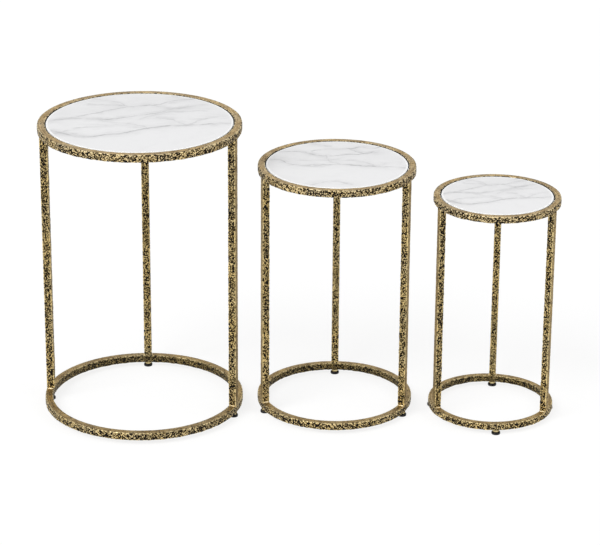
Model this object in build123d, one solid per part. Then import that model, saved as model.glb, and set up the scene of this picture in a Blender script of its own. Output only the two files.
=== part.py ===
from build123d import *

import os
from dataclasses import dataclass
from math import cos, radians, sin

# Set of three round nesting side tables, standing side by side in a row. Each table is two rings of
# square bar joined by three square legs, with a stone disc let into the upper ring and screw-in
# levelling feet under the lower one. The two smaller tables pass between the side legs of the next
# larger one and stand inside its lower ring.
# Millimetres. +Z is up, +X runs along the row from the large table to the small one, and the side
# that faces the room is -Y. The origin is on the floor, under the middle of the row.

# Each table: outside diameter, height over the upper ring, and side of its square bar.
large_diameter = 406.0
large_height = 610.0
large_bar = 16.0
medium_diameter = 317.0
medium_height = 521.0
medium_bar = 15.0
small_diameter = 255.0
small_height = 467.0
small_bar = 14.0

# The row: clear floor between neighbouring rings, and how far each table stands back from the line.
large_to_medium_gap = 30.0
medium_to_small_gap = 34.0
medium_set_back = 10.0
small_set_back = -16.0

# Where the legs stand, in degrees counter-clockwise from +X. The front stays open, so that the next
# smaller table goes in between the left and the right leg.
large_back_leg_angle = 91.0
large_left_leg_angle = 174.0
large_right_leg_angle = -18.0
medium_back_leg_angle = 89.0
medium_left_leg_angle = 199.0
medium_right_leg_angle = -24.0
small_back_leg_angle = 84.0
small_left_leg_angle = 201.0
small_right_leg_angle = -29.0

# The large and the medium table have a foot under each leg. The small one has four, about a quarter
# turn apart: one under its back leg, and these.
small_left_foot_angle = 172.0
small_right_foot_angle = 2.0
small_front_foot_angle = 272.0

# The bar work.
leg_ease = 1.2  # flat on each long corner of a leg
leg_inset = 0.4  # a leg's outer face lies this far inside the rings' outer wall
weld_bead = 2.6  # height and width of the weld along each side of a leg's ends

# What carries the stone: flat tabs welded inside the upper ring, each with a soft cushion on it.
tab_count = 4
tab_reach = 14.0
tab_width = 20.0
tab_thickness = 3.0
cushion_side = 9.0
cushion_thickness = 1.0

# The stone disc.
stone_gap = 1.6  # clear slot between the stone and the ring, all round
stone_recess = 0.3  # the stone's face lies this far below the top of the ring

# The levelling foot: a threaded stud with a hexagon collar, screwed up into the lower ring, and a
# round pad under the collar, which stays still on the floor while the stud turns. At rest the foot
# is screwed fully in.
stud_diameter = 6.0
stud_engagement = 10.0
stud_end_gap = 1.0
thread_clearance = 0.05
collar_across_flats = 12.0
collar_thickness = 3.8
collar_gap = 0.3  # between the collar and the ring
pad_diameter = 18.0
pad_height = 5.4

floor_gap = pad_height + collar_thickness + collar_gap  # clear height under the lower ring

ON_BASE = (Align.CENTER, Align.CENTER, Align.MIN)


@dataclass(frozen=True)
class Table:
    """One table of the set, in its own frame: the origin is on the floor, under its middle."""

    name: str
    diameter: float
    height: float
    bar: float
    place: tuple
    legs: dict
    feet: dict

    @property
    def inner_wall(self):
        return self.diameter / 2 - self.bar

    @property
    def bar_circle(self):
        return self.diameter / 2 - self.bar / 2

    @property
    def base_top(self):
        return floor_gap + self.bar

    @property
    def head_bottom(self):
        return self.height - self.bar

    @property
    def tab_angles(self):
        return [(i + 0.5) * 360 / tab_count for i in range(tab_count)]

    def on_circle(self, radius, angle, z=0.0):
        """A location at this angle on a circle about the table's middle, turned to face outward."""
        spot = Pos(radius * cos(radians(angle)), radius * sin(radians(angle)), z)
        return spot * Rot(0, 0, angle)


def table_row():
    """The three tables, placed so that the row's outline is centred on the origin."""
    row_length = large_diameter + medium_diameter + small_diameter
    row_length += large_to_medium_gap + medium_to_small_gap
    large_x = large_diameter / 2 - row_length / 2
    medium_x = large_x + large_diameter / 2 + large_to_medium_gap + medium_diameter / 2
    small_x = medium_x + medium_diameter / 2 + medium_to_small_gap + small_diameter / 2
    large_legs = {
        "back": large_back_leg_angle, "left": large_left_leg_angle, "right": large_right_leg_angle
    }
    medium_legs = {
        "back": medium_back_leg_angle, "left": medium_left_leg_angle, "right": medium_right_leg_angle
    }
    small_legs = {
        "back": small_back_leg_angle, "left": small_left_leg_angle, "right": small_right_leg_angle
    }
    small_feet = {
        "back": small_back_leg_angle,
        "left": small_left_foot_angle,
        "right": small_right_foot_angle,
        "front": small_front_foot_angle,
    }
    return [
        Table("large", large_diameter, large_height, large_bar,
              (large_x, 0.0), large_legs, large_legs),
        Table("medium", medium_diameter, medium_height, medium_bar,
              (medium_x, medium_set_back), medium_legs, medium_legs),
        Table("small", small_diameter, small_height, small_bar,
              (small_x, small_set_back), small_legs, small_feet),
    ]


def bar_ring(table, underside):
    """The square bar rolled into a ring and closed, standing at this height."""
    section = Pos(table.bar_circle, 0, underside + table.bar / 2) * Rot(90, 0, 0)
    return revolve(section * Rectangle(table.bar, table.bar), Axis.Z)


def base_ring(table):
    """The lower ring, with a tapped blind hole in its underside for each levelling foot."""
    ring = bar_ring(table, floor_gap)
    hole = Cylinder(stud_diameter / 2 + thread_clearance, stud_engagement + stud_end_gap, align=ON_BASE)
    for angle in table.feet.values():
        ring -= table.on_circle(table.bar_circle, angle, floor_gap) * hole
    return ring


def weld(table, side, z, up):
    """One weld bead: a triangular run along the side of a leg, in the corner it makes with a ring."""
    face_y = side * table.bar / 2
    section = Polyline(
        (0, face_y, z),
        (0, face_y + side * weld_bead, z),
        (0, face_y, z + up * weld_bead),
        close=True,
    )
    run = table.bar - 2 * leg_ease
    return Pos(table.bar_circle, 0, 0) * extrude(make_face(section), run / 2, dir=(1, 0, 0), both=True)


def leg(table, angle):
    """A leg of square bar butted between the rings and welded along both sides at foot and head."""
    length = table.head_bottom - table.base_top
    bar = Pos(table.bar_circle - leg_inset, 0, table.base_top) * Box(
        table.bar, table.bar, length, align=ON_BASE
    )
    bar = chamfer(bar.edges().filter_by(Axis.Z), leg_ease)
    for side in (-1, 1):
        bar += weld(table, side, table.base_top, 1)
        bar += weld(table, side, table.head_bottom, -1)
    return Rot(0, 0, angle) * bar


def top_tabs(table):
    """The flat tabs inside the upper ring that carry the stone, their outer ends cut to its wall."""
    plate = Pos(table.inner_wall - tab_reach, 0, table.head_bottom) * Box(
        tab_reach + table.bar, tab_width, tab_thickness, align=(Align.MIN, Align.CENTER, Align.MIN)
    )
    well = Pos(0, 0, table.head_bottom) * Cylinder(table.inner_wall, tab_thickness, align=ON_BASE)
    tab = plate & well
    return [Rot(0, 0, angle) * tab for angle in table.tab_angles]


def top_cushions(table):
    """A soft square cushion on each tab, between it and the stone."""
    cushion = Box(cushion_side, cushion_side, cushion_thickness, align=ON_BASE)
    circle = table.inner_wall - tab_reach / 2
    height = table.head_bottom + tab_thickness
    return [table.on_circle(circle, angle, height) * cushion for angle in table.tab_angles]


def marble_top(table):
    """The stone disc on its cushions, with a slot between it and the ring."""
    underside = table.head_bottom + tab_thickness + cushion_thickness
    thickness = table.height - stone_recess - underside
    return Pos(0, 0, underside) * Cylinder(table.inner_wall - stone_gap, thickness, align=ON_BASE)


def foot_stem(table, angle):
    """The metal part of a foot: a hexagon collar with the stud standing on it."""
    hexagon = RegularPolygon(collar_across_flats / 2, 6, major_radius=False)
    collar = extrude(hexagon, collar_thickness)
    stud = Pos(0, 0, collar_thickness) * Cylinder(
        stud_diameter / 2, collar_gap + stud_engagement, align=ON_BASE
    )
    return table.on_circle(table.bar_circle, angle, pad_height) * (collar + stud)


def foot_pad(table, angle):
    """The round pad that stands on the floor under the collar."""
    return table.on_circle(table.bar_circle, angle) * Cylinder(pad_diameter / 2, pad_height, align=ON_BASE)


def table_pieces(table):
    """Every piece of one table, by name, in the table's own frame."""
    pieces = {
        "top_ring": bar_ring(table, table.head_bottom),
        "base_ring": base_ring(table),
        "top_tabs": top_tabs(table),
        "top_cushions": top_cushions(table),
        "marble_top": marble_top(table),
    }
    for side, angle in table.legs.items():
        pieces[f"leg_{side}"] = leg(table, angle)
    for side, angle in table.feet.items():
        pieces[f"foot_stem_{side}"] = foot_stem(table, angle)
        pieces[f"foot_pad_{side}"] = foot_pad(table, angle)
    return pieces


def main():
    os.makedirs("parts", exist_ok=True)
    for table in table_row():
        place = Pos(table.place[0], table.place[1], 0)
        for name, shape in table_pieces(table).items():
            solids = shape if isinstance(shape, list) else [shape]
            node = Compound(children=[place * solid for solid in solids])
            export_step(node, f"parts/{table.name}_{name}.step")


main()
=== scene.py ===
import itertools
import math
from collections import namedtuple

import bmesh
import bpy
import numpy as np
from mathutils import Matrix, Vector


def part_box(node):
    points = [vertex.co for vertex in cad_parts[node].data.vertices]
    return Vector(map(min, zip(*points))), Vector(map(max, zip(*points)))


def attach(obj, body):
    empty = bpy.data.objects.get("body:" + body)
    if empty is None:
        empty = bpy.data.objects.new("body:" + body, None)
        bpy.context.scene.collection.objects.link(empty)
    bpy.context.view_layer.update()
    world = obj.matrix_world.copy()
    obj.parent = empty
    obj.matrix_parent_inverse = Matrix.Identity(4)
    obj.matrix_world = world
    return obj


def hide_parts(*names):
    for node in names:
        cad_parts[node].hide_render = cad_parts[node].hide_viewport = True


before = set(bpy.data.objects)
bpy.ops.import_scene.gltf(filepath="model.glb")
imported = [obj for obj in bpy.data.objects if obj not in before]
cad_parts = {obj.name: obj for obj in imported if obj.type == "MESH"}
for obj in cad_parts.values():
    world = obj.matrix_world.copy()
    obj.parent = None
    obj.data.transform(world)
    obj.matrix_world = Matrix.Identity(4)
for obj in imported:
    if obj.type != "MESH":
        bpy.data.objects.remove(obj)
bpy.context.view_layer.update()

# The looks of the three nesting tables: hammered antique brass bars with welds, veined marble discs,
# and glossy levelling feet. Sizes and places come from the CAD nodes; metres throughout.

TABLES = ("large", "medium", "small")
MM = 0.001
QUARTER_TURN = np.linspace(0, math.pi / 2, 6)  # the angles that a rounded edge is made at

GRAIN = 1.5 * MM
STONE_GRAIN = 1.35 * MM

# The bars. Everything here is cut inward from the CAD's faces.
CORNER = 1.5 * MM  # radius of the long corners
CORNER_STEPS = 3
LEG_INSET = 0.4 * MM  # a leg's outer face lies this far inside the rings' outer wall
DENT_SIZE = 7.0 * MM  # broad hammer dents: how far apart, and how deep
DENT_DEPTH = 0.45 * MM
PIT_SIZE = 3.4 * MM  # small pits between them
PIT_DEPTH = 0.35 * MM
WEAR_SIZE = 5.0 * MM  # worn places along the corners
WEAR_DEPTH = 0.55 * MM
SMOOTHING = 0.8  # share of all that cutting that the smoothest faces lose
BRIGHT_LIP = 0.2 * MM  # how far down a ring's inner wall stays bright

# Seeds of the scattered marks, which are the same every run.
DENT_SEED = 11
PIT_SEED = 29
WEAR_SEED = 47
BROAD_WEAR_SEED = 53

# What sets the finish and the painted shade of one bar apart, which antique_brass reads from the mesh.
# The first key, the leg shade, is how much painted shade browns it near the legs. slot: how black its
# inner wall is painted beside the stone, as shadow. hatch: how much it is scratched across. bold: its share
# of coarse flecks. calm: how fine and even its marks are, most of all on the legs. tone: how much lighter or
# darker it is.
RING_FINISH_AND_SHADE = {
    "top_ring": {"heat": 0.0, "slot": 1.0, "hatch": 0.8, "bold": 0.3, "calm": 0.0, "tone": 0.0},
    "base_ring": {"heat": 1.0, "slot": 0.0, "hatch": 1.0, "bold": 0.15, "calm": 0.6, "tone": -0.07},
}
LEG_FINISH = {"hatch": 0.3, "calm": 1.0}
LEG_TONE = {"back": -0.04, "left": 0.03, "right": 0.03}

# The welds.
BEAD = 2.6 * MM  # height and width of a bead
BEAD_RADIUS = 0.60 * BEAD
RIPPLE = 2.3 * MM  # length of one ripple
RIPPLE_SHARE = 0.13  # how much a ripple and a slow swell each add to the radius
SWELL_SHARE = 0.12
LEG_SHADE_REACH = 16 * MM  # how far from a leg the painted shade browns the ring

# The stones.
STONE_EDGE = 1.0 * MM  # how far the upper edge is rounded over
STONE_UNDERSIDE_EDGE = 0.5 * MM
HIGHLIGHT_RIM = 3.2 * MM  # width of the rim painted whiter as a highlight

# The feet: the pad, the hexagon collar on it, and the threaded stud.
PAD_EDGE = 0.6 * MM  # height of its lower edge's slope
PAD_SHOULDER = 1.6 * MM  # radius of its shoulder
PAD_SHOULDER_DROP = 0.5 * MM  # the shoulder ends this far below the seat for the collar
PAD_SEAT = 0.80  # radius of that seat, as a share of the pad's
PAD_SEAT_HEIGHT = 0.4 * MM
PAD_SEAT_SLOPE = 0.3 * MM  # how far its side slopes in
PAD_SEGMENTS = 48
COLLAR_HEIGHT = 3.8 * MM
COLLAR_ACROSS_FLATS = 12.0 * MM
COLLAR_EASE = 0.45 * MM  # how far its edges are rounded
STUD_RADIUS = 3.0 * MM
STUD_ROOT = 0.4 * MM  # how far down inside the collar the stud starts
STUD_END = 0.8 * MM  # length of its tapered end
STUD_END_SIZE = 0.78  # width of that end, as a share of the stud's
THREAD_PITCH = 1.0 * MM
THREAD_DEPTH = 0.55 * MM
THREAD_STEPS = 8  # rings of vertices to each turn of the thread

# The stage and its light. The floor and the surround light the object as a grey would, and the camera
# sees them white.
FLOOR_SIZE = 60.0
FLOOR_GREY = 0.22
FLOOR_SEEN = 0.80  # what the floor adds for the camera, which makes it white where no shadow falls
WORLD_LIGHT = 0.464
MIRRORED = 0.63  # how far reflections of the surround go from that level to white
LAMPS = {  # where each shines from, its strength, and how many degrees wide it is
    "key": ((-0.50, -0.58, 0.80), 1.9, 36),
    "fill": ((0.75, -0.35, 0.55), 0.7, 50),
}
LENS_MM = 156.0
CAMERA_PLACE = (0.001, -4.890, 2.228)
CAMERA_TILT = 21.60
CAMERA_ROLL = 0.39

# The stones' veins: how strong and how wide each one is, then the points it runs through, all in
# radii of the stone. The large and the small stone have one pattern, and the medium its own.
LONG_VEINS = (
    (0.85, 0.016, (-0.92, -0.30), (-0.62, -0.50), (-0.28, -0.42), (0.10, -0.21), (0.45, -0.10),
     (0.97, -0.02)),
    (0.80, 0.014, (-0.97, 0.02), (-0.66, 0.11), (-0.34, 0.09), (0.09, 0.28), (0.42, 0.50), (0.66, 0.62)),
    (0.70, 0.015, (-0.92, 0.05), (-0.66, 0.20), (-0.25, 0.47), (0.14, 0.62), (0.34, 0.76), (0.60, 0.84)),
    (0.65, 0.014, (0.06, 0.62), (0.22, 0.53), (0.36, 0.48), (0.50, 0.58)),
    (0.45, 0.018, (-0.60, 0.60), (-0.42, 0.57), (-0.25, 0.56), (-0.10, 0.52)),
    (0.50, 0.016, (-0.55, 0.80), (-0.40, 0.74), (-0.27, 0.66), (-0.20, 0.56)),
    (0.50, 0.014, (-0.45, 0.06), (-0.30, -0.02), (-0.10, -0.06), (0.08, -0.18)),
    (0.45, 0.016, (0.18, 0.16), (0.34, 0.08), (0.50, -0.06), (0.66, 0.10), (0.84, 0.18)),
    (0.45, 0.018, (-0.86, -0.40), (-0.70, -0.24), (-0.50, -0.17), (-0.22, -0.11), (0.02, -0.20)),
    (0.35, 0.040, (-0.88, -0.44), (-0.78, -0.40), (-0.66, -0.42)),
    (0.40, 0.020, (0.00, 0.10), (0.22, 0.30), (0.40, 0.38), (0.70, 0.40)),
    (0.35, 0.030, (0.30, 0.86), (0.46, 0.83), (0.62, 0.80)),
)
LENS_VEINS = (
    (0.80, 0.018, (-0.97, 0.16), (-0.80, 0.15), (-0.64, -0.02), (-0.25, -0.05), (0.12, 0.00),
     (0.50, -0.08), (0.97, -0.12)),
    (0.70, 0.018, (-0.88, 0.55), (-0.53, 0.52), (-0.22, 0.37), (0.16, 0.41), (0.44, 0.50), (0.62, 0.56)),
    (0.65, 0.018, (-0.36, 0.56), (-0.10, 0.64), (0.20, 0.67), (0.35, 0.75), (0.55, 0.71), (0.68, 0.78)),
    (0.70, 0.017, (0.22, 0.62), (0.34, 0.52), (0.42, 0.47), (0.52, 0.56)),
    (0.55, 0.020, (-0.38, 0.92), (-0.24, 0.87), (-0.08, 0.76)),
    (0.45, 0.020, (-0.52, 0.16), (-0.30, 0.14), (-0.12, 0.16), (0.04, 0.22)),
    (0.45, 0.016, (-0.16, 0.40), (-0.12, 0.16), (0.02, 0.02)),
    (0.45, 0.018, (0.14, 0.18), (0.36, 0.12), (0.50, -0.04)),
    (0.40, 0.024, (0.64, 0.03), (0.76, 0.08), (0.90, 0.08)),
    (0.50, 0.022, (-0.34, -0.84), (-0.12, -0.74), (0.04, -0.75), (0.20, -0.84)),
    (0.45, 0.035, (-0.88, 0.17), (-0.78, 0.18), (-0.68, 0.08)),
)
# Each stone's veins, how many radians its pattern is turned, and its seed.
STONES = {
    "large": (LONG_VEINS, 0.0, 12),
    "medium": (LENS_VEINS, 0.0, 11),
    "small": (LONG_VEINS, -0.06, 12),
}
BENDS = ((0.16, 0.036), (0.05, 0.022), (0.018, 0.007))  # how long and how wide the veins' bends are
CORE = 0.85  # how dark each part of a vein is: its core, the strand beside it, and its stain
STRAND = 0.35
STAIN = 0.30
SMEAR = 0.16  # how dark the grey smears near the veins are, and the painted shade over the rear
REAR_SHADE = 0.12


# ---------------------------------------------------------------- noise that repeats every run


def lattice(ix, iy, iz, salt):
    """A number from 0 to 1 for each point of a whole-numbered grid, by hashing the point and salt."""
    h = ix.astype(np.uint32) * np.uint32(0x8DA6B343)
    h ^= iy.astype(np.uint32) * np.uint32(0xD8163841)
    h ^= iz.astype(np.uint32) * np.uint32(0xCB1AB31F) + np.uint32(salt * 7919 + 17)
    for shift, factor in ((15, 0x2C1B3C6D), (12, 0x297A2D39)):
        h ^= h >> np.uint32(shift)
        h *= np.uint32(factor)
    h ^= h >> np.uint32(15)
    return h.astype(np.float64) / 2**32


def cells(points, size, salt):
    """Distance to the nearest of a set of scattered points, in cells, and that point's own number."""
    p = points / size
    home = np.floor(p).astype(np.int64)
    nearest = np.full(len(p), 9.0)
    own = np.zeros(len(p))
    for step in itertools.product((-1, 0, 1), repeat=3):
        cell = home + step
        inside = np.stack([lattice(*cell.T, salt + k) for k in range(3)], 1)
        gap = np.linalg.norm(cell + inside - p, axis=1)
        closer = gap < nearest
        nearest = np.where(closer, gap, nearest)
        own = np.where(closer, lattice(*cell.T, salt + 3), own)
    return nearest, own


def clouds(points, size, salt):
    """Smooth noise from 0 to 1."""
    p = points / size
    home = np.floor(p).astype(np.int64)
    part = p - home
    part = part * part * (3 - 2 * part)
    total = np.zeros(len(p))
    for step in itertools.product((0, 1), repeat=3):
        x, y, z = np.abs(1 - np.array(step) - part).T
        total += x * y * z * lattice(*(home + step).T, salt)
    return total


def ease(x):
    """0 to 1 with soft ends."""
    x = np.clip(x, 0, 1)
    return x * x * (3 - 2 * x)


# ---------------------------------------------------------------- meshes


def mesh_object(name, points, quads, caps=()):
    """A smooth-shaded object from vertex positions, four-cornered faces, and faces of any size."""
    mesh = bpy.data.meshes.new(name)
    loops = [quads.reshape(-1)]
    sizes = [np.full(len(quads), 4)]
    for face in caps:
        loops.append(np.array(face))
        sizes.append(np.array([len(face)]))
    loops = np.concatenate(loops).astype(np.int32)
    sizes = np.concatenate(sizes).astype(np.int32)
    starts = np.concatenate([[0], np.cumsum(sizes)[:-1]]).astype(np.int32)
    mesh.vertices.add(len(points))
    mesh.vertices.foreach_set("co", np.asarray(points, np.float32).reshape(-1))
    mesh.loops.add(len(loops))
    mesh.loops.foreach_set("vertex_index", loops)
    mesh.polygons.add(len(sizes))
    mesh.polygons.foreach_set("loop_start", starts)
    mesh.polygons.foreach_set("loop_total", sizes)
    mesh.update(calc_edges=True)
    mesh.validate()
    mesh.polygons.foreach_set("use_smooth", np.ones(len(mesh.polygons), bool))
    made = bpy.data.objects.new(name, mesh)
    bpy.context.scene.collection.objects.link(made)
    return made


def grid_quads(rows, columns, closed):
    """Faces of a tube of vertices, rows along it and columns round it. A closed one is a ring, whose
    last row joins its first."""
    r = np.arange(rows if closed else rows - 1)[:, None]
    c = np.arange(columns)[None, :]
    after_r, after_c = (r + 1) % rows, (c + 1) % columns
    corners = [r * columns + c, after_r * columns + c, after_r * columns + after_c, r * columns + after_c]
    return np.stack([np.broadcast_to(k, (len(r), columns)) for k in corners], -1).reshape(-1, 4)


def end_caps(rows, columns):
    """The two faces that close an open tube's ends."""
    return [list(range(columns)), list(range((rows - 1) * columns, rows * columns))[::-1]]


def point_data(thing, **values):
    """Numbers or vectors, one per vertex or one for all of them, that the materials read by name."""
    for name, value in values.items():
        value = np.asarray(value, np.float32)
        if value.ndim == 0:
            value = np.full(len(thing.data.vertices), value)
        vector = value.ndim == 2
        data = thing.data.attributes.new(name, "FLOAT_VECTOR" if vector else "FLOAT", "POINT")
        data.data.foreach_set("vector" if vector else "value", value.reshape(-1))


def lathe(name, profile, centre, segments):
    """A closed turned body: profile is [(radius, z)], from its lowest point on the axis to its
    highest."""
    turn = np.linspace(0, 2 * math.pi, segments, endpoint=False)
    rim = profile[1:-1]
    points = [(r * math.cos(a), r * math.sin(a), z) for a in turn for r, z in rim]
    low, high = len(points), len(points) + 1
    points += [(0, 0, profile[0][1]), (0, 0, profile[-1][1])]
    quads, fans, n = [], [], len(rim)
    for i in range(segments):
        here, there = i * n, (i + 1) % segments * n
        quads += [(here + k, there + k, there + k + 1, here + k + 1) for k in range(n - 1)]
        fans += [(low, there, here), (high, here + n - 1, there + n - 1)]
    return mesh_object(name, np.array(points) + np.array(centre), np.array(quads), fans)


Section = namedtuple("Section", "side x y nx ny walked edge")


def section(side):
    """The rounded section of a square bar of this side: x across and y up, the normal, the distance
    walked round it, and edge, how near a corner is, from 0 to 1. It starts at the lower inner corner
    and runs inner wall, top, outer wall, underside."""
    flat = side - 2 * CORNER
    arc = math.pi / 2 * CORNER
    steps = max(4, round(flat / GRAIN))
    rows = []
    walked = 0.0
    for nx, ny in ((-1, 0), (0, 1), (1, 0), (0, -1)):
        normal, along = np.array([nx, ny]), np.array([ny, -nx])
        middle = normal * side / 2
        for i in range(steps):
            part = i / steps
            x, y = middle - along * flat / 2 + along * flat * part
            rows.append((x, y, nx, ny, walked + flat * part, abs(part - 0.5) * 2))
        walked += flat
        pivot = middle + along * flat / 2 - normal * CORNER
        for i in range(CORNER_STEPS):
            part = i / CORNER_STEPS
            turned = normal * math.cos(part * math.pi / 2) + along * math.sin(part * math.pi / 2)
            x, y = pivot + turned * CORNER
            rows.append((x, y, *turned, walked + arc * part, 1.0))
        walked += arc
    return Section(side, *np.array(rows).T)


def facing(part):
    """How squarely a surface faces one way, from 0 to 1, by the part of its normal that points there."""
    return ease(part * 1.4 - 0.3)


def leg_faces(shape):
    """How smooth each point of a leg's section is, how shaded as an inner wall, and how darkened: the
    outer face is the smooth one, and the flanks are the dark ones."""
    return 0.75 * facing(shape.nx), 0.15 * facing(-shape.nx), 0.7 * facing(np.abs(shape.ny))


def ring_faces(shape):
    """The same for a ring: the top is smooth, the inner wall is shaded below a bright lip, and the
    lower corners are dark."""
    inner = facing(-shape.nx) * ease((shape.side / 2 - shape.y - BRIGHT_LIP) / BRIGHT_LIP)
    smooth = facing(shape.ny) + 0.1 * inner
    under = ease((shape.edge - 0.7) / 0.3) * ease(1.4 * (0.4 - shape.y / shape.side))
    return smooth, inner, under


def hammered(points, normals, edge, share):
    """Cuts dents, pits and worn corners into a surface, inward only, to this share of their depth.
    Returns the new points and how high each stands, from 0 in the deepest marks to 1 on what is
    left untouched."""
    dent_reach, pit_reach = 0.8, 0.55  # radius of each mark, in its own cells
    pits_left_out = 0.35
    worn_edge = 0.55  # nearness to a corner from which wear starts
    dent, strength = cells(points, DENT_SIZE, DENT_SEED)
    pit, luck = cells(points, PIT_SIZE, PIT_SEED)
    corner_patches = clouds(points, WEAR_SIZE, WEAR_SEED) * clouds(points, WEAR_SIZE * 3, BROAD_WEAR_SEED)
    dents = (1 - ease(dent / dent_reach)) * (0.4 + 0.6 * strength)
    pits = (1 - ease(pit / pit_reach)) * ease((luck - pits_left_out) * 4)
    wears = ease((edge - worn_edge) / (1 - worn_edge)) * ease(corner_patches * 2.6)
    depth = (DENT_DEPTH * dents + PIT_DEPTH * pits + WEAR_DEPTH * wears) * share
    height = 1 - 0.45 * dents - 0.55 * pits
    return points - normals * depth[:, None], height


def bar_mesh(name, path, across, up, along, side, faces, closed):
    """Sweeps the bar's section along a path and hammers it. across and up are unit vectors at each
    point of the path, across pointing away from the table's middle, and along is how far the path
    has come. faces tells how smooth, shaded and dark the section is, and a closed bar is a ring."""
    shape = section(side)
    rows, columns = len(path), len(shape.x)

    def swept(x, y):
        return across[:, None, :] * x[None, :, None] + up[:, None, :] * y[None, :, None]

    points = (path[:, None, :] + swept(shape.x, shape.y)).reshape(-1, 3)
    normals = swept(shape.nx, shape.ny).reshape(-1, 3)
    smooth, inner, under = (np.tile(k, rows) for k in faces(shape))
    edge = np.tile(shape.edge, rows)
    points, height = hammered(points, normals, edge, 1 - SMOOTHING * smooth)
    caps = [] if closed else end_caps(rows, columns)
    made = mesh_object(name, points, grid_quads(rows, columns, closed), caps)
    grain = np.stack([np.repeat(along, columns), np.tile(shape.walked, rows), edge * 0], 1)
    point_data(made, height=height, edge=edge, smooth=smooth, inner=inner, under=under, grain=grain)
    return made


# ---------------------------------------------------------------- shader helpers


class Nodes:
    """Short calls for building the nodes of one material or world."""

    def __init__(self, owner, output="ShaderNodeOutputMaterial"):
        owner.use_nodes = True
        self.owner = owner
        self.tree = owner.node_tree
        self.tree.nodes.clear()
        self.output = self.tree.nodes.new(output)

    def add(self, kind, inputs=None, **settings):
        node = self.tree.nodes.new(kind)
        for key, value in settings.items():
            setattr(node, key, value)
        for key, value in (inputs or {}).items():
            self.put(node.inputs[key], value)
        return node

    def put(self, socket, value):
        if isinstance(value, bpy.types.NodeSocket):
            self.tree.links.new(value, socket)
        else:
            socket.default_value = value

    def attribute(self, name, kind="Fac"):
        return self.add("ShaderNodeAttribute", attribute_name=name).outputs[kind]

    def place(self):
        return self.add("ShaderNodeTexCoord").outputs["Object"]

    def math(self, operation, a, b=0.0, c=0.0, clamp=False):
        node = self.add("ShaderNodeMath", operation=operation, use_clamp=clamp)
        for socket, value in zip(node.inputs, (a, b, c)):
            self.put(socket, value)
        return node.outputs[0]

    def times(self, a, b):
        return self.math("MULTIPLY", a, b)

    def line(self, x, slope, start):
        """start + slope * x"""
        return self.math("MULTIPLY_ADD", x, slope, start)

    def rest(self, x):
        """What x leaves of 1."""
        return self.math("SUBTRACT", 1.0, x)

    def vector(self, operation, a, b):
        node = self.add("ShaderNodeVectorMath", operation=operation)
        self.put(node.inputs[0], a)
        self.put(node.inputs[1], b)
        return node.outputs[0]

    def turn(self, where, angles):
        return self.add("ShaderNodeMapping", {"Vector": where, "Rotation": angles}).outputs[0]

    def noise(self, where, scale, detail=2.0, rough=0.5, warp=0.0):
        node = self.add(
            "ShaderNodeTexNoise",
            {"Vector": where, "Scale": scale, "Detail": detail, "Roughness": rough, "Distortion": warp},
        )
        return node.outputs[0]

    def voronoi(self, where, scale):
        return self.add("ShaderNodeTexVoronoi", {"Vector": where, "Scale": scale}).outputs["Distance"]

    def fade(self, value, low, high):
        """0 to 1 as value goes from low to high, with soft ends."""
        node = self.add(
            "ShaderNodeMapRange",
            {"Value": value, "From Min": low, "From Max": high},
            interpolation_type="SMOOTHSTEP",
        )
        return node.outputs[0]

    def ramp(self, value, stops):
        node = self.add("ShaderNodeValToRGB", {"Fac": value})
        points = node.color_ramp.elements
        while len(points) < len(stops):
            points.new(0.5)
        for point, (at, colour) in zip(points, stops):
            point.position = at
            point.color = colour
        return node.outputs[0]

    def mix(self, share, a, b, blend="MIX"):
        """Colour a, with this share of b mixed in or, to MULTIPLY, laid over it."""
        node = self.add("ShaderNodeMix", data_type="RGBA", blend_type=blend)
        self.put(node.inputs[0], share)
        self.put(node.inputs[6], a)
        self.put(node.inputs[7], b)
        return node.outputs[2]

    def bump(self, height, distance, strength):
        inputs = {"Height": height, "Distance": distance, "Strength": strength}
        return self.add("ShaderNodeBump", inputs).outputs[0]

    def finish(self, **inputs):
        """Ends the material in one Principled shader."""
        shader = self.add("ShaderNodeBsdfPrincipled")
        for key, value in inputs.items():
            self.put(shader.inputs[key.replace("_", " ")], value)
        self.put(self.output.inputs["Surface"], shader.outputs[0])
        return self.owner


def srgb(red, green, blue):
    """An sRGB colour of 0 to 255 as the four numbers that a shader takes."""
    shares = (red / 255, green / 255, blue / 255)
    return (*(v / 12.92 if v <= 0.04045 else ((v + 0.055) / 1.055) ** 2.4 for v in shares), 1.0)


# ---------------------------------------------------------------- materials


BRIGHT_GOLD = srgb(242, 226, 184)


def thin_lines(n, where, scale):
    """Winding lines, 1 in the middle of each and 0 beside it."""
    away = n.math("ABSOLUTE", n.math("SUBTRACT", n.noise(where, scale, 1, warp=0.3), 0.5))
    return n.fade(away, 0.08, 0.0)


def hatching(n, grain, degrees):
    """Fine scratches that cross the bar at an angle, in patches."""
    turned = n.turn(grain, (0, 0, math.radians(degrees)))
    return n.fade(n.noise(n.vector("MULTIPLY", turned, (70, 360, 1)), 1.0, 1), 0.52, 0.64)


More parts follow.
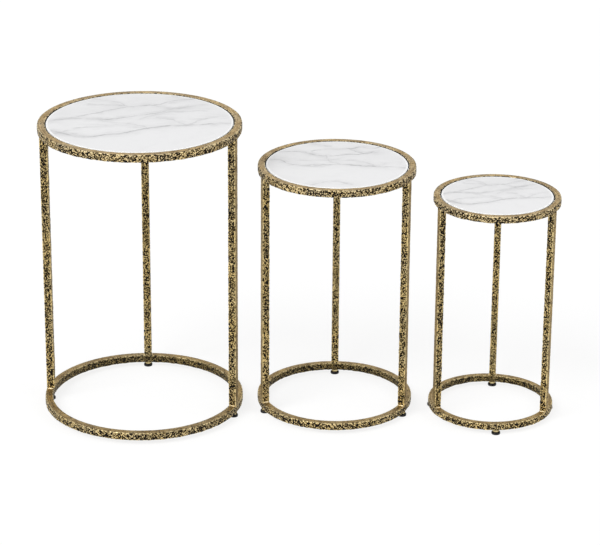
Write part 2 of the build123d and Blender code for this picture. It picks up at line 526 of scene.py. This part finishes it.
def gold_level(n, where, grain, patches, corner, beads):
    """How much gold shows at each point, from black at 0.3 to bright at 0.7, and its etched lines."""
    height, edge, smooth, under = (n.attribute(k) for k in ("height", "edge", "smooth", "under"))
    hatch, bold, calm, tone = (n.attribute(k) for k in ("hatch", "bold", "calm", "tone"))

    # The fine marks lie closer together across a calm bar. They are turned, so that no flat face of
    # the bar lies along the grid of the noise.
    marks = n.vector("MULTIPLY", where, n.mix(calm, (1.0, 1.0, 1.0, 1), (1.25, 1.25, 1.0, 1)))
    marks = n.turn(marks, (0.5, 0.7, 0.9))
    grit = n.noise(marks, 400, 1, warp=0.4)
    knobs = n.fade(n.voronoi(marks, 340), 0.74, 0.30)
    fine = n.line(grit, 0.50, n.times(knobs, 0.52))
    coarse = n.noise(where, 200, 3, 0.6, 0.6)
    flecks = n.line(bold, n.math("SUBTRACT", coarse, fine), fine)
    swing = n.line(calm, -0.28, 1.52)

    # Thin dark lines etched in some patches, and thin bright ones in the others.
    pitting = n.noise(where, 90)
    etched = n.times(thin_lines(n, marks, 320), n.fade(pitting, 0.25, 0.50))
    elsewhere = n.vector("ADD", marks, (3.1, 1.7, 5.3))
    glints = n.times(thin_lines(n, elsewhere, 350), n.fade(pitting, 0.70, 0.45))
    scratched = n.times(hatching(n, grain, -38), hatch)
    cut = n.times(hatching(n, grain, 42), hatch)

    # Corners carry painted glints in beads, with painted dark notches between them. Those of a calm bar
    # also have a thin painted highlight line, with a painted dark line beside it.
    corner_patches = n.times(corner, n.line(beads, 0.84, -0.34))
    beside = n.times(n.fade(edge, 0.66, 0.76), n.fade(edge, 0.92, 0.82))
    glint_line = n.times(n.line(corner, 0.26, n.times(beside, -0.10)), calm)

    level = n.line(n.math("SUBTRACT", flecks, 0.53), swing, 0.435)
    for term, share in (
        (tone, 1.0), (patches, 0.06), (height, 0.06), (etched, -0.42), (glints, 0.30), (under, -0.16),
        (scratched, 0.32), (cut, -0.32), (corner_patches, 1.0), (glint_line, 1.0), (smooth, 0.12),
    ):
        level = n.line(term, share, level)
    return level, etched


def brushed_gold(n, streaks, patches, tint, corner, beads):
    """The tan of the smooth faces, streaked along the bar. Their corners carry painted glints in beads and
    painted dark notches between them, and painted shade browns the ring near each leg."""
    edge, heat, calm = (n.attribute(k) for k in ("edge", "heat", "calm"))
    colour = n.ramp(n.line(streaks, 0.80, n.times(patches, 0.50)), [
        (0.46, srgb(140, 119, 84)),
        (0.58, srgb(186, 164, 124)),
        (0.70, srgb(212, 191, 150)),
        (0.82, srgb(240, 222, 180)),
    ])
    colour = n.mix(1.0, colour, tint, "MULTIPLY")
    colour = n.mix(calm, colour, (0.62, 0.60, 0.56, 1), "MULTIPLY")
    # Painted shade: the corners are darkened between the beads.
    notch_shade = n.times(n.fade(edge, 0.74, 0.95), n.rest(beads))
    notch_shade = n.times(notch_shade, n.line(calm, -0.6, 1.0))
    colour = n.mix(n.times(notch_shade, 0.85), colour, srgb(56, 43, 25))
    # Painted highlight: the corners are brightened on the beads.
    corner_glint = n.times(corner, n.math("MAXIMUM", beads, n.times(calm, 0.25)))
    colour = n.mix(n.times(corner_glint, 0.70), colour, BRIGHT_GOLD)
    # Painted shade browns the ring near each leg.
    return n.mix(n.times(heat, 0.95), colour, srgb(72, 44, 8))


def antique_brass():
    """Hammered iron in an antique brass finish: gold on what stands proud, black in the marks, and
    smoother tan, brushed along the bar, on the smooth faces. On a CAD node, which has no point data,
    all that it reads from the mesh is 0."""
    n = Nodes(bpy.data.materials.new("antique_brass"))
    where, grain = n.place(), n.attribute("grain", "Vector")
    edge, smooth, inner, slot, calm = (
        n.attribute(k) for k in ("edge", "smooth", "inner", "slot", "calm")
    )
    patches = n.noise(where, 45)
    streaks = n.noise(n.vector("MULTIPLY", grain, (20, 400, 1)), 1.0, 3, 0.6)
    tint = n.ramp(n.noise(where, 21), [(0.38, (0.92, 0.88, 0.84, 1)), (0.60, (1.05, 0.96, 0.78, 1))])
    corner = n.fade(edge, 0.80, 0.97)
    # beads: where the corners carry painted glints, and painted dark notches between them.
    beads = n.fade(n.noise(where, 260, 1), 0.45, 0.55)

    level, etched = gold_level(n, where, grain, patches, corner, beads)
    spread = n.fade(level, 0.30, 0.70)
    hammered_gold = n.ramp(spread, [
        (0.00, srgb(6, 5, 3)),
        (0.14, srgb(30, 25, 15)),
        (0.36, srgb(82, 67, 42)),
        (0.62, srgb(116, 96, 61)),
        (0.80, srgb(148, 125, 82)),
        (0.92, srgb(202, 179, 129)),
        (1.00, BRIGHT_GOLD),
    ])
    hammered_gold = n.mix(1.0, hammered_gold, tint, "MULTIPLY")
    smooth_gold = brushed_gold(n, streaks, patches, tint, corner, beads)
    pitted = n.fade(level, 0.30, 0.20)
    bare = n.times(smooth, n.line(pitted, -0.8, 1.0))
    colour = n.mix(bare, hammered_gold, smooth_gold)
    colour = n.mix(calm, colour, (1.0, 0.975, 0.83, 1), "MULTIPLY")

    # An inner wall gets painted shade, and in the slot beside the stone it is painted black as shadow.
    slot_shadow = n.times(inner, slot)
    colour = n.mix(n.times(inner, 0.8), colour, (0.25, 0.24, 0.19, 1), "MULTIPLY")
    colour = n.mix(slot_shadow, colour, (0.012, 0.011, 0.009, 1))

    dark = n.times(n.fade(spread, 0.45, 0.1), n.rest(bare))
    relief = n.times(n.line(etched, -0.5, spread), n.line(smooth, -0.85, 1.0))
    relief = n.line(streaks, n.times(smooth, 0.12), relief)
    return n.finish(
        Base_Color=colour,
        Metallic=n.times(n.line(dark, -0.6, 0.9), n.rest(slot_shadow)),
        Roughness=n.line(dark, 0.25, 0.36),
        Specular_IOR_Level=0.2,
        Specular_Tint=(0.8, 0.78, 0.74, 1),
        Normal=n.bump(relief, 0.5 * MM, 0.9),
    )


def weld_metal():
    """Bare bright weld metal under a thin gold wash."""
    n = Nodes(bpy.data.materials.new("weld_metal"))
    tone = n.noise(n.place(), 420, 3, 0.6)
    colour = n.ramp(tone, [
        (0.30, srgb(150, 124, 78)),
        (0.46, srgb(222, 200, 150)),
        (0.66, srgb(250, 240, 210)),
    ])
    return n.finish(Base_Color=colour, Metallic=0.6, Roughness=0.42, Normal=n.bump(tone, 0.3 * MM, 0.6))


def marble():
    """Polished white marble: soft grey veins with painted shade over the rear, and a rim painted whiter as
    a highlight, both read from the mesh."""
    n = Nodes(bpy.data.materials.new("marble"))
    where = n.place()
    vein, rim = n.attribute("vein"), n.attribute("rim")
    grit = n.noise(where, 380, 3, 0.6)
    mottle = n.noise(where, 30, 3, 0.6)
    shown = n.math("MULTIPLY", vein, n.line(grit, 0.7, 0.65), clamp=True)
    shown = n.line(n.fade(mottle, 0.45, 0.75), 0.06, shown)
    colour = n.mix(shown, srgb(237, 237, 238), srgb(170, 170, 172))
    # Painted highlight: the rim is whitened.
    colour = n.mix(n.times(rim, 0.95), colour, srgb(252, 252, 252))
    polish = n.bump(n.noise(where, 50), 0.02 * MM, 0.2)
    return n.finish(Base_Color=colour, Roughness=0.14, IOR=1.5, Normal=polish)


def black_plastic():
    """Hard glossy black plastic with a faint moulded unevenness."""
    n = Nodes(bpy.data.materials.new("black_plastic"))
    tone = n.noise(n.place(), 500, 3, 0.6)
    return n.finish(
        Base_Color=n.ramp(tone, [(0.3, srgb(5, 5, 5)), (0.7, srgb(14, 14, 13))]),
        Roughness=n.line(tone, 0.2, 0.15),
        Specular_IOR_Level=0.25,
        Normal=n.bump(tone, 0.1 * MM, 0.3),
    )


def plated_brass():
    """Bright brass plating of the foot collars and studs, with faint turning marks and tarnish."""
    n = Nodes(bpy.data.materials.new("plated_brass"))
    where = n.place()
    turning = n.noise(n.vector("MULTIPLY", where, (1, 1, 60)), 60)
    colour = n.ramp(n.noise(where, 260, 3, 0.6), [
        (0.30, srgb(150, 130, 88)),
        (0.55, srgb(216, 198, 150)),
        (0.80, srgb(246, 236, 206)),
    ])
    return n.finish(
        Base_Color=colour,
        Metallic=1.0,
        Roughness=0.22,
        Specular_Tint=(0.12, 0.10, 0.06, 1),
        Normal=n.bump(turning, 0.1 * MM, 0.3),
    )


def clear_rubber():
    """The soft cushions under the stone."""
    n = Nodes(bpy.data.materials.new("clear_rubber"))
    tone = n.noise(n.place(), 300)
    colour = n.ramp(tone, [(0.3, srgb(190, 190, 184)), (0.7, srgb(214, 214, 208))])
    return n.finish(Base_Color=colour, Roughness=0.55, Normal=n.bump(tone, 0.1 * MM, 0.3))


# ---------------------------------------------------------------- the tables


def round_node(node):
    """Centre across, centre along, radius, bottom and top of a CAD node that is round from above."""
    low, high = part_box(node)
    return (low[0] + high[0]) / 2, (low[1] + high[1]) / 2, (high[0] - low[0]) / 2, low[2], high[2]


class Table:
    """What the CAD nodes say about one table's sizes and places. legs holds each leg's angle about
    the table's middle, and circle is the radius at which the rings' bar runs."""

    def __init__(self, name):
        self.name = name
        self.x, self.y, radius, bottom, top = round_node(f"{name}_top_ring")
        self.bar = top - bottom
        self.circle = radius - self.bar / 2
        self.legs = {side: self.angle_of(f"{name}_leg_{side}") for side in ("back", "left", "right")}

    def angle_of(self, node):
        low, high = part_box(node)
        return math.atan2((low[1] + high[1]) / 2 - self.y, (low[0] + high[0]) / 2 - self.x)


def dress(piece, material, slot, body, *nodes):
    """Gives a piece its material and body, and hides the CAD nodes that it stands for. Its slot is not used.
    """
    piece.data.materials.append(material)
    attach(piece, body)
    if nodes:
        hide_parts(*nodes)


def paint(node, material):
    """A CAD node that stays as it is, in a better material."""
    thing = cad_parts[node]
    thing.data.materials.clear()
    thing.data.materials.append(material)


def ring(table, node, material):
    """One rolled ring of bar, hammered. It starts and ends at the back leg."""
    name = f"{table.name}_{node}"
    low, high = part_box(name)
    count = round(2 * math.pi * table.circle / GRAIN)
    turn = table.legs["back"] + np.linspace(0, 2 * math.pi, count, endpoint=False)
    outward = np.stack([np.cos(turn), np.sin(turn), np.zeros(count)], 1)
    path = outward * table.circle + (table.x, table.y, (low[2] + high[2]) / 2)
    up = np.tile((0.0, 0.0, 1.0), (count, 1))
    walked = np.arange(count) * 2 * math.pi * table.circle / count
    made = bar_mesh(f"{name}_hammered", path, outward, up, walked, table.bar, ring_faces, True)
    # Painted shade: the ring browns near each leg, where the leg meets it.
    heat = np.zeros(count)
    for angle in table.legs.values():
        off = np.abs((turn - angle + math.pi) % (2 * math.pi) - math.pi) * table.circle - table.bar / 2
        heat = np.maximum(heat, 1 - ease(off / LEG_SHADE_REACH))
    finish = dict(RING_FINISH_AND_SHADE[node])
    finish["heat"] *= np.repeat(heat, len(made.data.vertices) // count)
    point_data(made, **finish)
    dress(made, material, "frame_metal", f"{table.name}_frame", name)


def leg(table, side, material, bead_material):
    """One hammered leg and its four welds."""
    node = f"{table.name}_leg_{side}"
    low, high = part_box(node)
    angle = table.legs[side]
    outward = np.array((math.cos(angle), math.sin(angle), 0.0))
    sideways = np.array((-math.sin(angle), math.cos(angle), 0.0))
    up = np.array((0.0, 0.0, 1.0))
    count = round((high[2] - low[2]) / GRAIN)
    heights = np.linspace(low[2], high[2], count)
    foot = np.array((table.x, table.y, 0.0)) + outward * (table.circle - LEG_INSET)
    made = bar_mesh(
        f"{node}_hammered", foot + heights[:, None] * up, np.tile(outward, (count, 1)),
        np.tile(sideways, (count, 1)), heights, table.bar, leg_faces, False,
    )
    point_data(made, **LEG_FINISH, tone=LEG_TONE[side])
    dress(made, material, "frame_metal", f"{table.name}_frame", node)
    beads = []
    for z in (low[2], high[2]):
        for turn in (-1, 1):
            corner = foot + sideways * turn * table.bar / 2 + up * z
            beads.append(bead(corner, outward, sideways, table.bar - 2 * CORNER, len(beads)))
    welds = join(f"{node}_welds", beads)
    dress(welds, bead_material, "frame_metal", f"{table.name}_frame")


def bead(corner, along, sideways, length, salt):
    """Vertices and faces of one rippled weld bead that runs along a corner. Its ends taper, and it
    swells a little, as one laid by hand does. The salt makes each bead differ."""
    rows, columns = 26, 16
    up = np.array((0.0, 0.0, 1.0))
    s = np.linspace(-1, 1, rows)
    turn = np.linspace(0, 2 * math.pi, columns, endpoint=False)
    taper = np.sqrt(np.clip(1 - np.abs(s) ** 5, 0.004, 1))
    ripple = 1 + RIPPLE_SHARE * np.abs(np.cos(math.pi * s * length / 2 / RIPPLE + salt))
    swell = 1 + SWELL_SHARE * np.sin(3.1 * s + salt * 1.7)
    radius = BEAD_RADIUS * taper * ripple * swell
    points = (
        corner
        + (along * (s * length / 2)[:, None])[:, None, :]
        + radius[:, None, None] * (np.cos(turn)[:, None] * sideways + np.sin(turn)[:, None] * up)[None]
    )
    return points.reshape(-1, 3), grid_quads(rows, columns, False), end_caps(rows, columns)


def join(name, shells):
    """One object from several closed shells."""
    points, quads, caps, start = [], [], [], 0
    for shell_points, shell_quads, shell_caps in shells:
        points.append(shell_points)
        quads.append(shell_quads + start)
        caps += [[k + start for k in face] for face in shell_caps]
        start += len(shell_points)
    return mesh_object(name, np.concatenate(points), np.concatenate(quads), caps)


def smooth_path(points, steps=8):
    """Points along the Catmull-Rom curve through the given ones."""
    p = np.array(points, float)
    p = np.concatenate([[2 * p[0] - p[1]], p, [2 * p[-1] - p[-2]]])
    t = (np.arange(steps) / steps)[:, None]
    runs = []
    for a, b, c, d in zip(p, p[1:], p[2:], p[3:]):
        square = 2 * a - 5 * b + 4 * c - d
        cube = 3 * b - a - 3 * c + d
        runs.append(0.5 * (2 * b + (c - a) * t + square * t**2 + cube * t**3))
    return np.concatenate([*runs, p[-2:-1]])


def distance_to(path, p):
    """How far each point lies from a path."""
    away = np.full(len(p), 9.0)
    for a, b in zip(path, path[1:]):
        run = b - a
        part = np.clip((p - a) @ run / (run @ run), 0, 1)
        away = np.minimum(away, np.linalg.norm(p - a - part[:, None] * run, axis=1))
    return away


def bell(away, width):
    """1 in the middle, falling off softly over this width."""
    return np.exp(-((away / width) ** 2))


def veining(flat, veins, turn, seed):
    """How dark each point of a stone of radius 1 is, from 0 to 1. Each vein is a fine core that comes
    and goes, a fainter strand beside it, and a soft stain round both. There are grey smears near
    the veins, and painted shade over the rear, mottled."""
    in_space = np.eye(2, 3)
    at = flat @ in_space

    def drift(size, salt):
        return clouds(at, size, seed + salt)

    wander = np.zeros(flat.shape)
    for k, (size, reach) in enumerate(BENDS):
        wander += (np.stack([drift(size, 2 * k + axis) for axis in (1, 2)], 1) - 0.5) * reach
    c, s = math.cos(turn), math.sin(turn)
    p = (flat + wander) @ np.array(((c, -s), (s, c)))
    apart = np.stack([flat[:, 0] * 0, 0.03 + 0.05 * (drift(0.35, 7) - 0.3)], 1)
    light = np.ones(len(p))
    nearest = np.full(len(p), 9.0)
    for k, (strength, width, *points) in enumerate(veins):
        path = smooth_path(points)
        away = distance_to(path, p)
        beside = distance_to(path, p + apart * (-1) ** k)
        nearest = np.minimum(nearest, away)
        shown = np.clip(1.5 * drift(0.12, 10 + k) + 0.8 * drift(0.04, 60 + k) - 0.35, 0, 1.4)
        faint = np.clip(1.8 * drift(0.16, 80 + k) - 0.6, 0, 1)
        thin = width * (0.40 + 0.45 * drift(0.22, 100 + k))
        core = bell(away, thin) * shown
        strand = bell(beside, thin) * faint
        stain = bell(away, width * 4.5) * drift(0.2, 30 + k)
        light *= 1 - np.clip(strength * (CORE * core + STRAND * strand + STAIN * stain), 0, 0.95)
    smears = clouds(p * (1.0, 3.2) @ in_space, 0.11, seed + 120)
    light *= 1 - SMEAR * ease((smears - 0.5) * 3) * bell(nearest, 0.10)
    # Painted shade: the stone darkens towards its rear, mottled by this noise.
    rear_mottle = clouds(p * (1.0, 2.2) @ in_space, 0.3, seed + 50)
    light *= 1 - REAR_SHADE * ease(flat[:, 1] + 0.45) * (0.4 + 0.9 * rear_mottle)
    return 1 - light


def stone(table, material, veins, turn, seed):
    """The marble disc, with its upper edge rounded over, and its veins and rim as point data."""
    node = f"{table.name}_marble_top"
    *_, radius, bottom, top = round_node(node)
    face = radius - STONE_EDGE
    low_edge = STONE_UNDERSIDE_EDGE
    profile = [(0, bottom), (radius * 0.5, bottom), (radius - low_edge, bottom), (radius, bottom + low_edge)]
    profile += [
        (face + STONE_EDGE * math.cos(a), top - STONE_EDGE + STONE_EDGE * math.sin(a))
        for a in QUARTER_TURN
    ]
    profile += [(r, top) for r in np.arange(face - STONE_GRAIN, STONE_GRAIN, -STONE_GRAIN)]
    profile.append((0, top))
    segments = round(2 * math.pi * radius / STONE_GRAIN)
    made = lathe(f"{node}_polished", profile, (table.x, table.y, 0), segments)
    points = np.zeros(len(made.data.vertices) * 3, np.float32)
    made.data.vertices.foreach_get("co", points)
    flat = (points.reshape(-1, 3)[:, :2] - (table.x, table.y)) / radius
    inward = radius * (1 - np.linalg.norm(flat, axis=1))
    # The rim that the marble paints whiter as a highlight.
    rim = ease((HIGHLIGHT_RIM + MM - inward) / MM)
    point_data(made, vein=veining(flat, veins, turn, seed), rim=rim)
    dress(made, material, "marble", f"{table.name}_stone", node)


def pad(table, side, material):
    """The round black pad that a foot stands on, with a rounded shoulder and a seat for the collar."""
    node = f"{table.name}_foot_pad_{side}"
    x, y, radius, bottom, top = round_node(node)
    seat = radius * PAD_SEAT
    shoulder = top - PAD_SHOULDER_DROP
    profile = [(0, bottom), (radius * 0.8, bottom), (radius * 0.96, bottom), (radius, bottom + PAD_EDGE)]
    profile += [
        (radius - PAD_SHOULDER * (1 - math.cos(a)), shoulder - PAD_SHOULDER * (1 - math.sin(a)))
        for a in QUARTER_TURN
    ]
    profile += [(seat, top - PAD_SEAT_HEIGHT), (seat - PAD_SEAT_SLOPE, top), (radius * 0.4, top), (0, top)]
    made = lathe(f"{node}_moulded", profile, (x, y, 0), PAD_SEGMENTS)
    dress(made, material, "foot_plastic", f"{table.name}_{side}_pad", node)


def add_thread(shell, x, y, bottom, top):
    """Adds the stud to a mesh: a tube of vertices whose radius follows the thread, narrower at its
    upper end."""
    rows, columns = round((top - bottom) / THREAD_PITCH * THREAD_STEPS), 24
    z = np.linspace(bottom - STUD_ROOT, top, rows)
    turn = np.linspace(0, 2 * math.pi, columns, endpoint=False)
    phase = z[:, None] / THREAD_PITCH - turn[None, :] / 2 / math.pi
    depth = THREAD_DEPTH * np.abs((phase % 1) * 2 - 1)
    taper = np.clip((top - z) / STUD_END, 0, 1)[:, None]
    r = (STUD_RADIUS - depth) * (STUD_END_SIZE + (1 - STUD_END_SIZE) * taper)
    points = np.stack([
        x + r * np.cos(turn), y + r * np.sin(turn), np.broadcast_to(z[:, None], r.shape)
    ], -1).reshape(-1, 3)
    verts = [shell.verts.new(p) for p in points]
    for face in [*grid_quads(rows, columns, False), *end_caps(rows, columns)]:
        shell.faces.new([verts[k] for k in face])


def stem(table, side, material):
    """The hexagon collar and the threaded stud above it."""
    node = f"{table.name}_foot_stem_{side}"
    low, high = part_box(node)
    x, y, *_ = round_node(f"{table.name}_foot_pad_{side}")
    corner = COLLAR_ACROSS_FLATS / 2 / math.cos(math.pi / 6)
    outward = Matrix.Rotation(math.atan2(y - table.y, x - table.x), 4, "Z")
    shell = bmesh.new()
    bmesh.ops.create_cone(
        shell, cap_ends=True, segments=6, radius1=corner, radius2=corner, depth=COLLAR_HEIGHT,
        matrix=Matrix.Translation((x, y, low[2] + COLLAR_HEIGHT / 2)) @ outward,
    )
    bmesh.ops.bevel(shell, geom=shell.edges[:], offset=COLLAR_EASE, segments=2, affect="EDGES")
    add_thread(shell, x, y, low[2] + COLLAR_HEIGHT, high[2])
    bmesh.ops.recalc_face_normals(shell, faces=shell.faces[:])
    mesh = bpy.data.meshes.new(f"{node}_plated")
    shell.to_mesh(mesh)
    shell.free()
    made = bpy.data.objects.new(f"{node}_plated", mesh)
    bpy.context.scene.collection.objects.link(made)
    dress(made, material, "foot_brass", f"{table.name}_{side}_stem", node)


# ---------------------------------------------------------------- stage, light and camera


def stage():
    """A white floor that keeps soft shadows, and a white surround."""
    bpy.ops.mesh.primitive_plane_add(size=FLOOR_SIZE, location=(0, 0, 0))
    floor = bpy.context.object
    floor.name = "floor"
    n = Nodes(bpy.data.materials.new("white_floor"))
    path = n.add("ShaderNodeLightPath")
    seen = path.outputs["Is Camera Ray"]
    for ray in ("Is Glossy Ray", "Is Transmission Ray"):
        seen = n.math("ADD", seen, path.outputs[ray], clamp=True)
    base = n.add("ShaderNodeBsdfDiffuse", {"Color": (FLOOR_GREY, FLOOR_GREY, FLOOR_GREY, 1)})
    glow = n.add("ShaderNodeEmission", {"Color": (1, 1, 1, 1), "Strength": n.times(seen, FLOOR_SEEN)})
    both = n.add("ShaderNodeAddShader")
    n.put(both.inputs[0], base.outputs[0])
    n.put(both.inputs[1], glow.outputs[0])
    n.put(n.output.inputs["Surface"], both.outputs[0])
    floor.data.materials.append(n.owner)

    world = bpy.data.worlds.new("white_surround")
    bpy.context.scene.world = world
    n = Nodes(world, "ShaderNodeOutputWorld")
    path = n.add("ShaderNodeLightPath")
    seen = path.outputs["Is Camera Ray"]
    for ray in ("Is Glossy Ray", "Is Transmission Ray"):
        seen = n.math("MULTIPLY_ADD", path.outputs[ray], MIRRORED, seen, clamp=True)
    strength = n.line(seen, 1 - WORLD_LIGHT, WORLD_LIGHT)
    glow = n.add("ShaderNodeBackground", {"Color": (1, 1, 1, 1), "Strength": strength})
    n.put(n.output.inputs["Surface"], glow.outputs[0])


def sun(name, towards, strength, spread):
    """A broad, distant studio lamp that shines from the direction towards."""
    lamp = bpy.data.lights.new(name, "SUN")
    lamp.energy = strength
    lamp.angle = math.radians(spread)
    made = bpy.data.objects.new(name, lamp)
    made.rotation_euler = Vector(towards).to_track_quat("Z", "Y").to_euler()
    bpy.context.scene.collection.objects.link(made)


def camera():
    """A long lens in front of the row, tilted down on it."""
    lens = bpy.data.cameras.new("camera")
    lens.lens = LENS_MM
    lens.sensor_width = 36.0
    lens.clip_end = 200
    made = bpy.data.objects.new("camera", lens)
    made.location = CAMERA_PLACE
    tilt = Matrix.Rotation(math.radians(90 - CAMERA_TILT), 4, "X")
    made.rotation_euler = (tilt @ Matrix.Rotation(math.radians(CAMERA_ROLL), 4, "Z")).to_euler()
    bpy.context.scene.collection.objects.link(made)
    bpy.context.scene.camera = made


# ---------------------------------------------------------------- the scene


def build():
    """Dresses every table: new pieces for all but the tabs and cushions, which keep their CAD shape."""
    brass, welds = antique_brass(), weld_metal()
    plastic, plated, rubber, white_stone = black_plastic(), plated_brass(), clear_rubber(), marble()
    for name in TABLES:
        table = Table(name)
        ring(table, "top_ring", brass)
        ring(table, "base_ring", brass)
        for side in table.legs:
            leg(table, side, brass, welds)
        stone(table, white_stone, *STONES[name])
        feet = [k.rsplit("_", 1)[1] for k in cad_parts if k.startswith(f"{name}_foot_pad_")]
        for side in feet:
            pad(table, side, plastic)
            stem(table, side, plated)
        paint(f"{name}_top_tabs", brass)
        paint(f"{name}_top_cushions", rubber)


bpy.context.scene.view_settings.view_transform = "Standard"
build()
stage()
for name, lamp in LAMPS.items():
    sun(name, *lamp)
camera()
